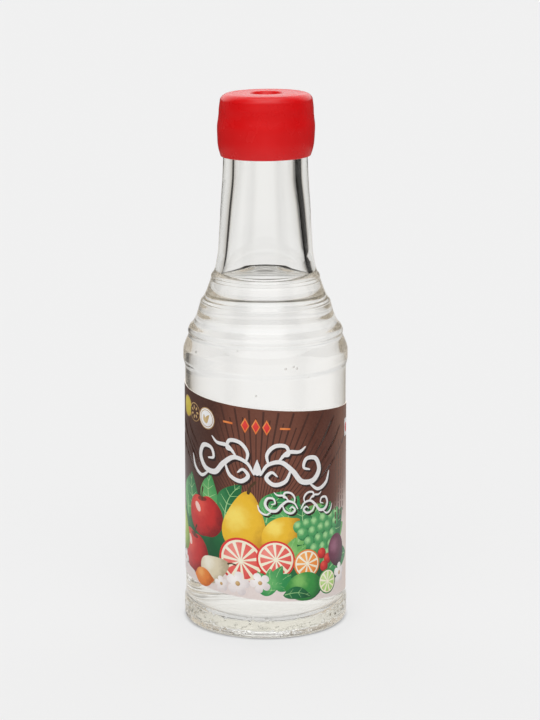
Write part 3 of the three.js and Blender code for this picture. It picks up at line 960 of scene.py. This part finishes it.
def ink_material(name, dark, mid, light):
    """Ink whose tone follows the motif's own frame: lit from the upper left, darker at its lower rim."""
    m, n, p, co = paper("print_" + name)
    at = n.new("ShaderNodeAttribute", attribute_name="motif").outputs["Vector"]
    x, y, z = n.xyz(at)[:3]
    dx, dy = n.math("ADD", x, 0.36), n.math("SUBTRACT", y, 0.36)
    far = n.math("SQRT", n.math("ADD", n.math("MULTIPLY", dx, dx), n.math("MULTIPLY", dy, dy)))
    grain = n.noise(at, 3.0, 3)
    far = n.math("ADD", far, n.math("MULTIPLY_ADD", grain, 0.5, -0.25))
    tone = n.mix(n.step(far, 0.1, 0.75), lin(*light), lin(*mid))
    tone = n.mix(n.step(far, 0.8, 1.5), tone, lin(*dark))
    n.put(p.inputs["Base Color"], n.mix(n.step(n.noise(co, 1500, 2), 0.3, 0.7, 0.0, 0.12), tone, lin(*[min(255, c + 18) for c in mid])))
    return m


def ground_material():
    """The brown field: darkest at the left, warm in the middle, fading to cream low down and at the right."""
    m, n, p, co = paper("print_ground")
    at = n.new("ShaderNodeAttribute", attribute_name="motif").outputs["Vector"]
    x, y, z = n.xyz(at)[:3]
    brown = n.mix(n.step(x, -18, -9), lin(70, 38, 29), lin(114, 66, 50))
    brown = n.mix(n.step(x, 8, 17), brown, lin(88, 44, 31))
    brown = n.mix(n.step(x, 22, 31), brown, lin(124, 78, 56))
    brown = n.mix(n.step(y, 44, 59, 0.0, 0.2), brown, lin(78, 43, 32))
    wave = n.math("MULTIPLY_ADD", n.noise(at, 0.09, 2), 10.0, -5.0)
    low = n.math("ADD", y, wave)
    edge = n.math("ADD", low, n.math("MULTIPLY", n.step(x, 18, 34), -13.0))
    cream = n.mix(n.step(x, 24, 46), lin(226, 214, 210), lin(214, 186, 166))
    tone = n.mix(n.step(edge, 8, 26), cream, brown)
    tone = n.mix(n.step(x, 33, 46, 0.0, 0.75), tone, lin(206, 170, 142))
    n.put(p.inputs["Base Color"], n.mix(n.step(n.noise(co, 1500, 2), 0.3, 0.7, 0.0, 0.08), tone, lin(150, 104, 84)))
    return m


def back_paper_and_painted_glow_material():
    m, n, p, co = material("paper_back_and_painted_glow")
    n.put(p.inputs["Base Color"], n.mix(n.noise(co, 240, 3), lin(226, 219, 208), lin(238, 233, 224)))
    p.inputs["Roughness"].default_value = 0.9
    # painted light: the back of the paper glows warm, brighter facing the front than at the sides, in place of light
    # reaching it through the glass and liquid
    x, y, z = n.xyz(co)[:3]
    turn = n.math("MULTIPLY", n.math("ABSOLUTE", n.math("ARCTAN2", x, y)), 180 / math.pi)
    p.inputs["Emission Color"].default_value = (1, 0.90, 0.78, 1)
    n.put(p.inputs["Emission Strength"], n.step(turn, 85, 115, 0.46, 0.24))
    return m


def wrap(x, y, lift):
    """A point of the sheet on the bottle."""
    a = x / LABEL["radius"]
    z = LABEL["bottom"] + y - LABEL["skew"] * a
    r = panel_radius(z) + lift
    return r * np.sin(a), -r * np.cos(a), z


def label():
    art = design()
    left, right, high = SHEET
    verts, faces = [], []
    for outline, _, _ in art.shapes:
        p = np.stack([np.clip(outline[:, 0], left, right), np.clip(outline[:, 1], 0, high)], 1)
        keep = [k for k in range(len(p)) if np.hypot(*(p[k] - p[k - 1])) > 1e-4]
        if sum(p[k][0] * p[j][1] - p[j][0] * p[k][1] for k, j in zip(keep, keep[1:] + keep[:1])) < 0:
            keep = keep[::-1]
        if len(keep) < 3:
            faces.append([])
            continue
        faces.append(list(range(len(verts), len(verts) + len(keep))))
        verts += [Vector(p[k]) for k in keep]
    owner = [i for i, f in enumerate(faces) if f]
    faces = [f for f in faces if f]
    nx, ny = int((right - left) / 1.4), int(high / 2.0)
    verts += [Vector((left + (right - left) * i / nx, high * j / ny)) for i in range(nx + 1) for j in range(ny + 1)]
    out_v, _, out_f, _, _, orig = delaunay_2d_cdt(verts, [], faces, 1, 1e-5, True)
    xy = np.array([tuple(v) for v in out_v])
    tris = [(f, art.shapes[owner[max(o)]]) for f, o in zip(out_f, orig) if len(f) == 3 and o]
    inks = ["ground"] + sorted(INKS) + ["back"]
    count = len(xy)
    a = xy[:, 0] / LABEL["radius"]
    sway = 0.012 * np.sin(3.1 * a + 0.12 * xy[:, 1]) + 0.008 * np.sin(7.3 * a - 0.2 * xy[:, 1] + 1)
    pts = [np.stack(wrap(xy[:, 0], xy[:, 1], 0.14 + sway), 1), np.stack(wrap(xy[:, 0], xy[:, 1], -0.03 + 0 * a), 1)]
    mesh_faces, index, local = [], [], []
    edges = {}
    for f, (_, ink, (cx, cy, scale, turn)) in tris:
        p = xy[list(f)]
        if (p[1][0] - p[0][0]) * (p[2][1] - p[0][1]) - (p[1][1] - p[0][1]) * (p[2][0] - p[0][0]) < 0:
            f = f[::-1]
        mesh_faces.append(tuple(f))
        index.append(inks.index(ink))
        q = (xy[list(f)] - (cx, cy)) / scale
        c, s = math.cos(-turn * DEG), math.sin(-turn * DEG)
        local += [(q[k, 0], q[k, 1], cx * 0.37 + cy * 0.11) for k in range(3)] if ink == "ground" else \
                 [(q[k, 0], q[k, 1], cx * 0.37 + cy * 0.11) for k in range(3)]
        for u, v in ((0, 1), (1, 2), (2, 0)):
            edges[(f[u], f[v])] = edges.get((f[u], f[v]), 0) + 1
    front = len(mesh_faces)
    mesh_faces += [tuple(k + count for k in f[::-1]) for f in mesh_faces]
    index += [len(inks) - 1] * front
    rim = [e for e in edges if (e[1], e[0]) not in edges]
    mesh_faces += [(b, a_, a_ + count, b + count) for a_, b in rim]
    index += [len(inks) - 1] * len(rim)
    local += [(0.0, 0.0, 0.0)] * (3 * front + 4 * len(rim))
    obj = make("paper_label", np.concatenate(pts), mesh_faces)
    mesh = obj.data
    if len(mesh.polygons) != len(mesh_faces):
        raise RuntimeError("the label lost faces")
    mesh.polygons.foreach_set("material_index", index)
    at = mesh.attributes.new("motif", "FLOAT_VECTOR", "CORNER")
    at.data.foreach_set("vector", np.array(local, np.float32).ravel())
    normals = []
    flat = [tuple(p.normal) for p in mesh.polygons[2 * front:]]
    for k, f in enumerate(mesh_faces):
        if k < 2 * front:
            side = 1 if k < front else -1
            normals += [(side * math.sin(a[v % count]), -side * math.cos(a[v % count]), 0.006 * side) for v in f]
        else:
            normals += [flat[k - 2 * front]] * 4
    mesh.normals_split_custom_set(normals)
    for ink in inks:
        mesh.materials.append(ground_material() if ink == "ground" else back_paper_and_painted_glow_material() if ink == "back" else ink_material(ink, *INKS[ink]))
    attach(obj, "root")
    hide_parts("label")
    print("label faces", len(mesh.polygons))
    return obj


def camera():
    cam = bpy.data.cameras.new("camera")
    cam.lens, cam.sensor_width = 110.0, 36.0
    cam.clip_start, cam.clip_end = 0.01, 40
    obj = bpy.data.objects.new("camera", cam)
    bpy.context.scene.collection.objects.link(obj)
    x = 1.39 * MM
    pitch, dist, target = 12.8 * DEG, 0.680, Vector((x, 0, 0.0820))
    obj.location = target + Vector((0, -dist * math.cos(pitch), dist * math.sin(pitch)))
    obj.rotation_euler = (math.pi / 2 - pitch, 0, 0)
    bpy.context.scene.camera = obj


camera()
glass()
liquid()
cap()
label()
surroundings()
studio()

scene = bpy.context.scene
scene.view_settings.view_transform = "Standard"
scene.view_settings.look = "None"
scene.cycles.max_bounces = 36
scene.cycles.transmission_bounces = 32
scene.cycles.glossy_bounces = 8
scene.cycles.diffuse_bounces = 8
scene.cycles.sample_clamp_indirect = 6.0
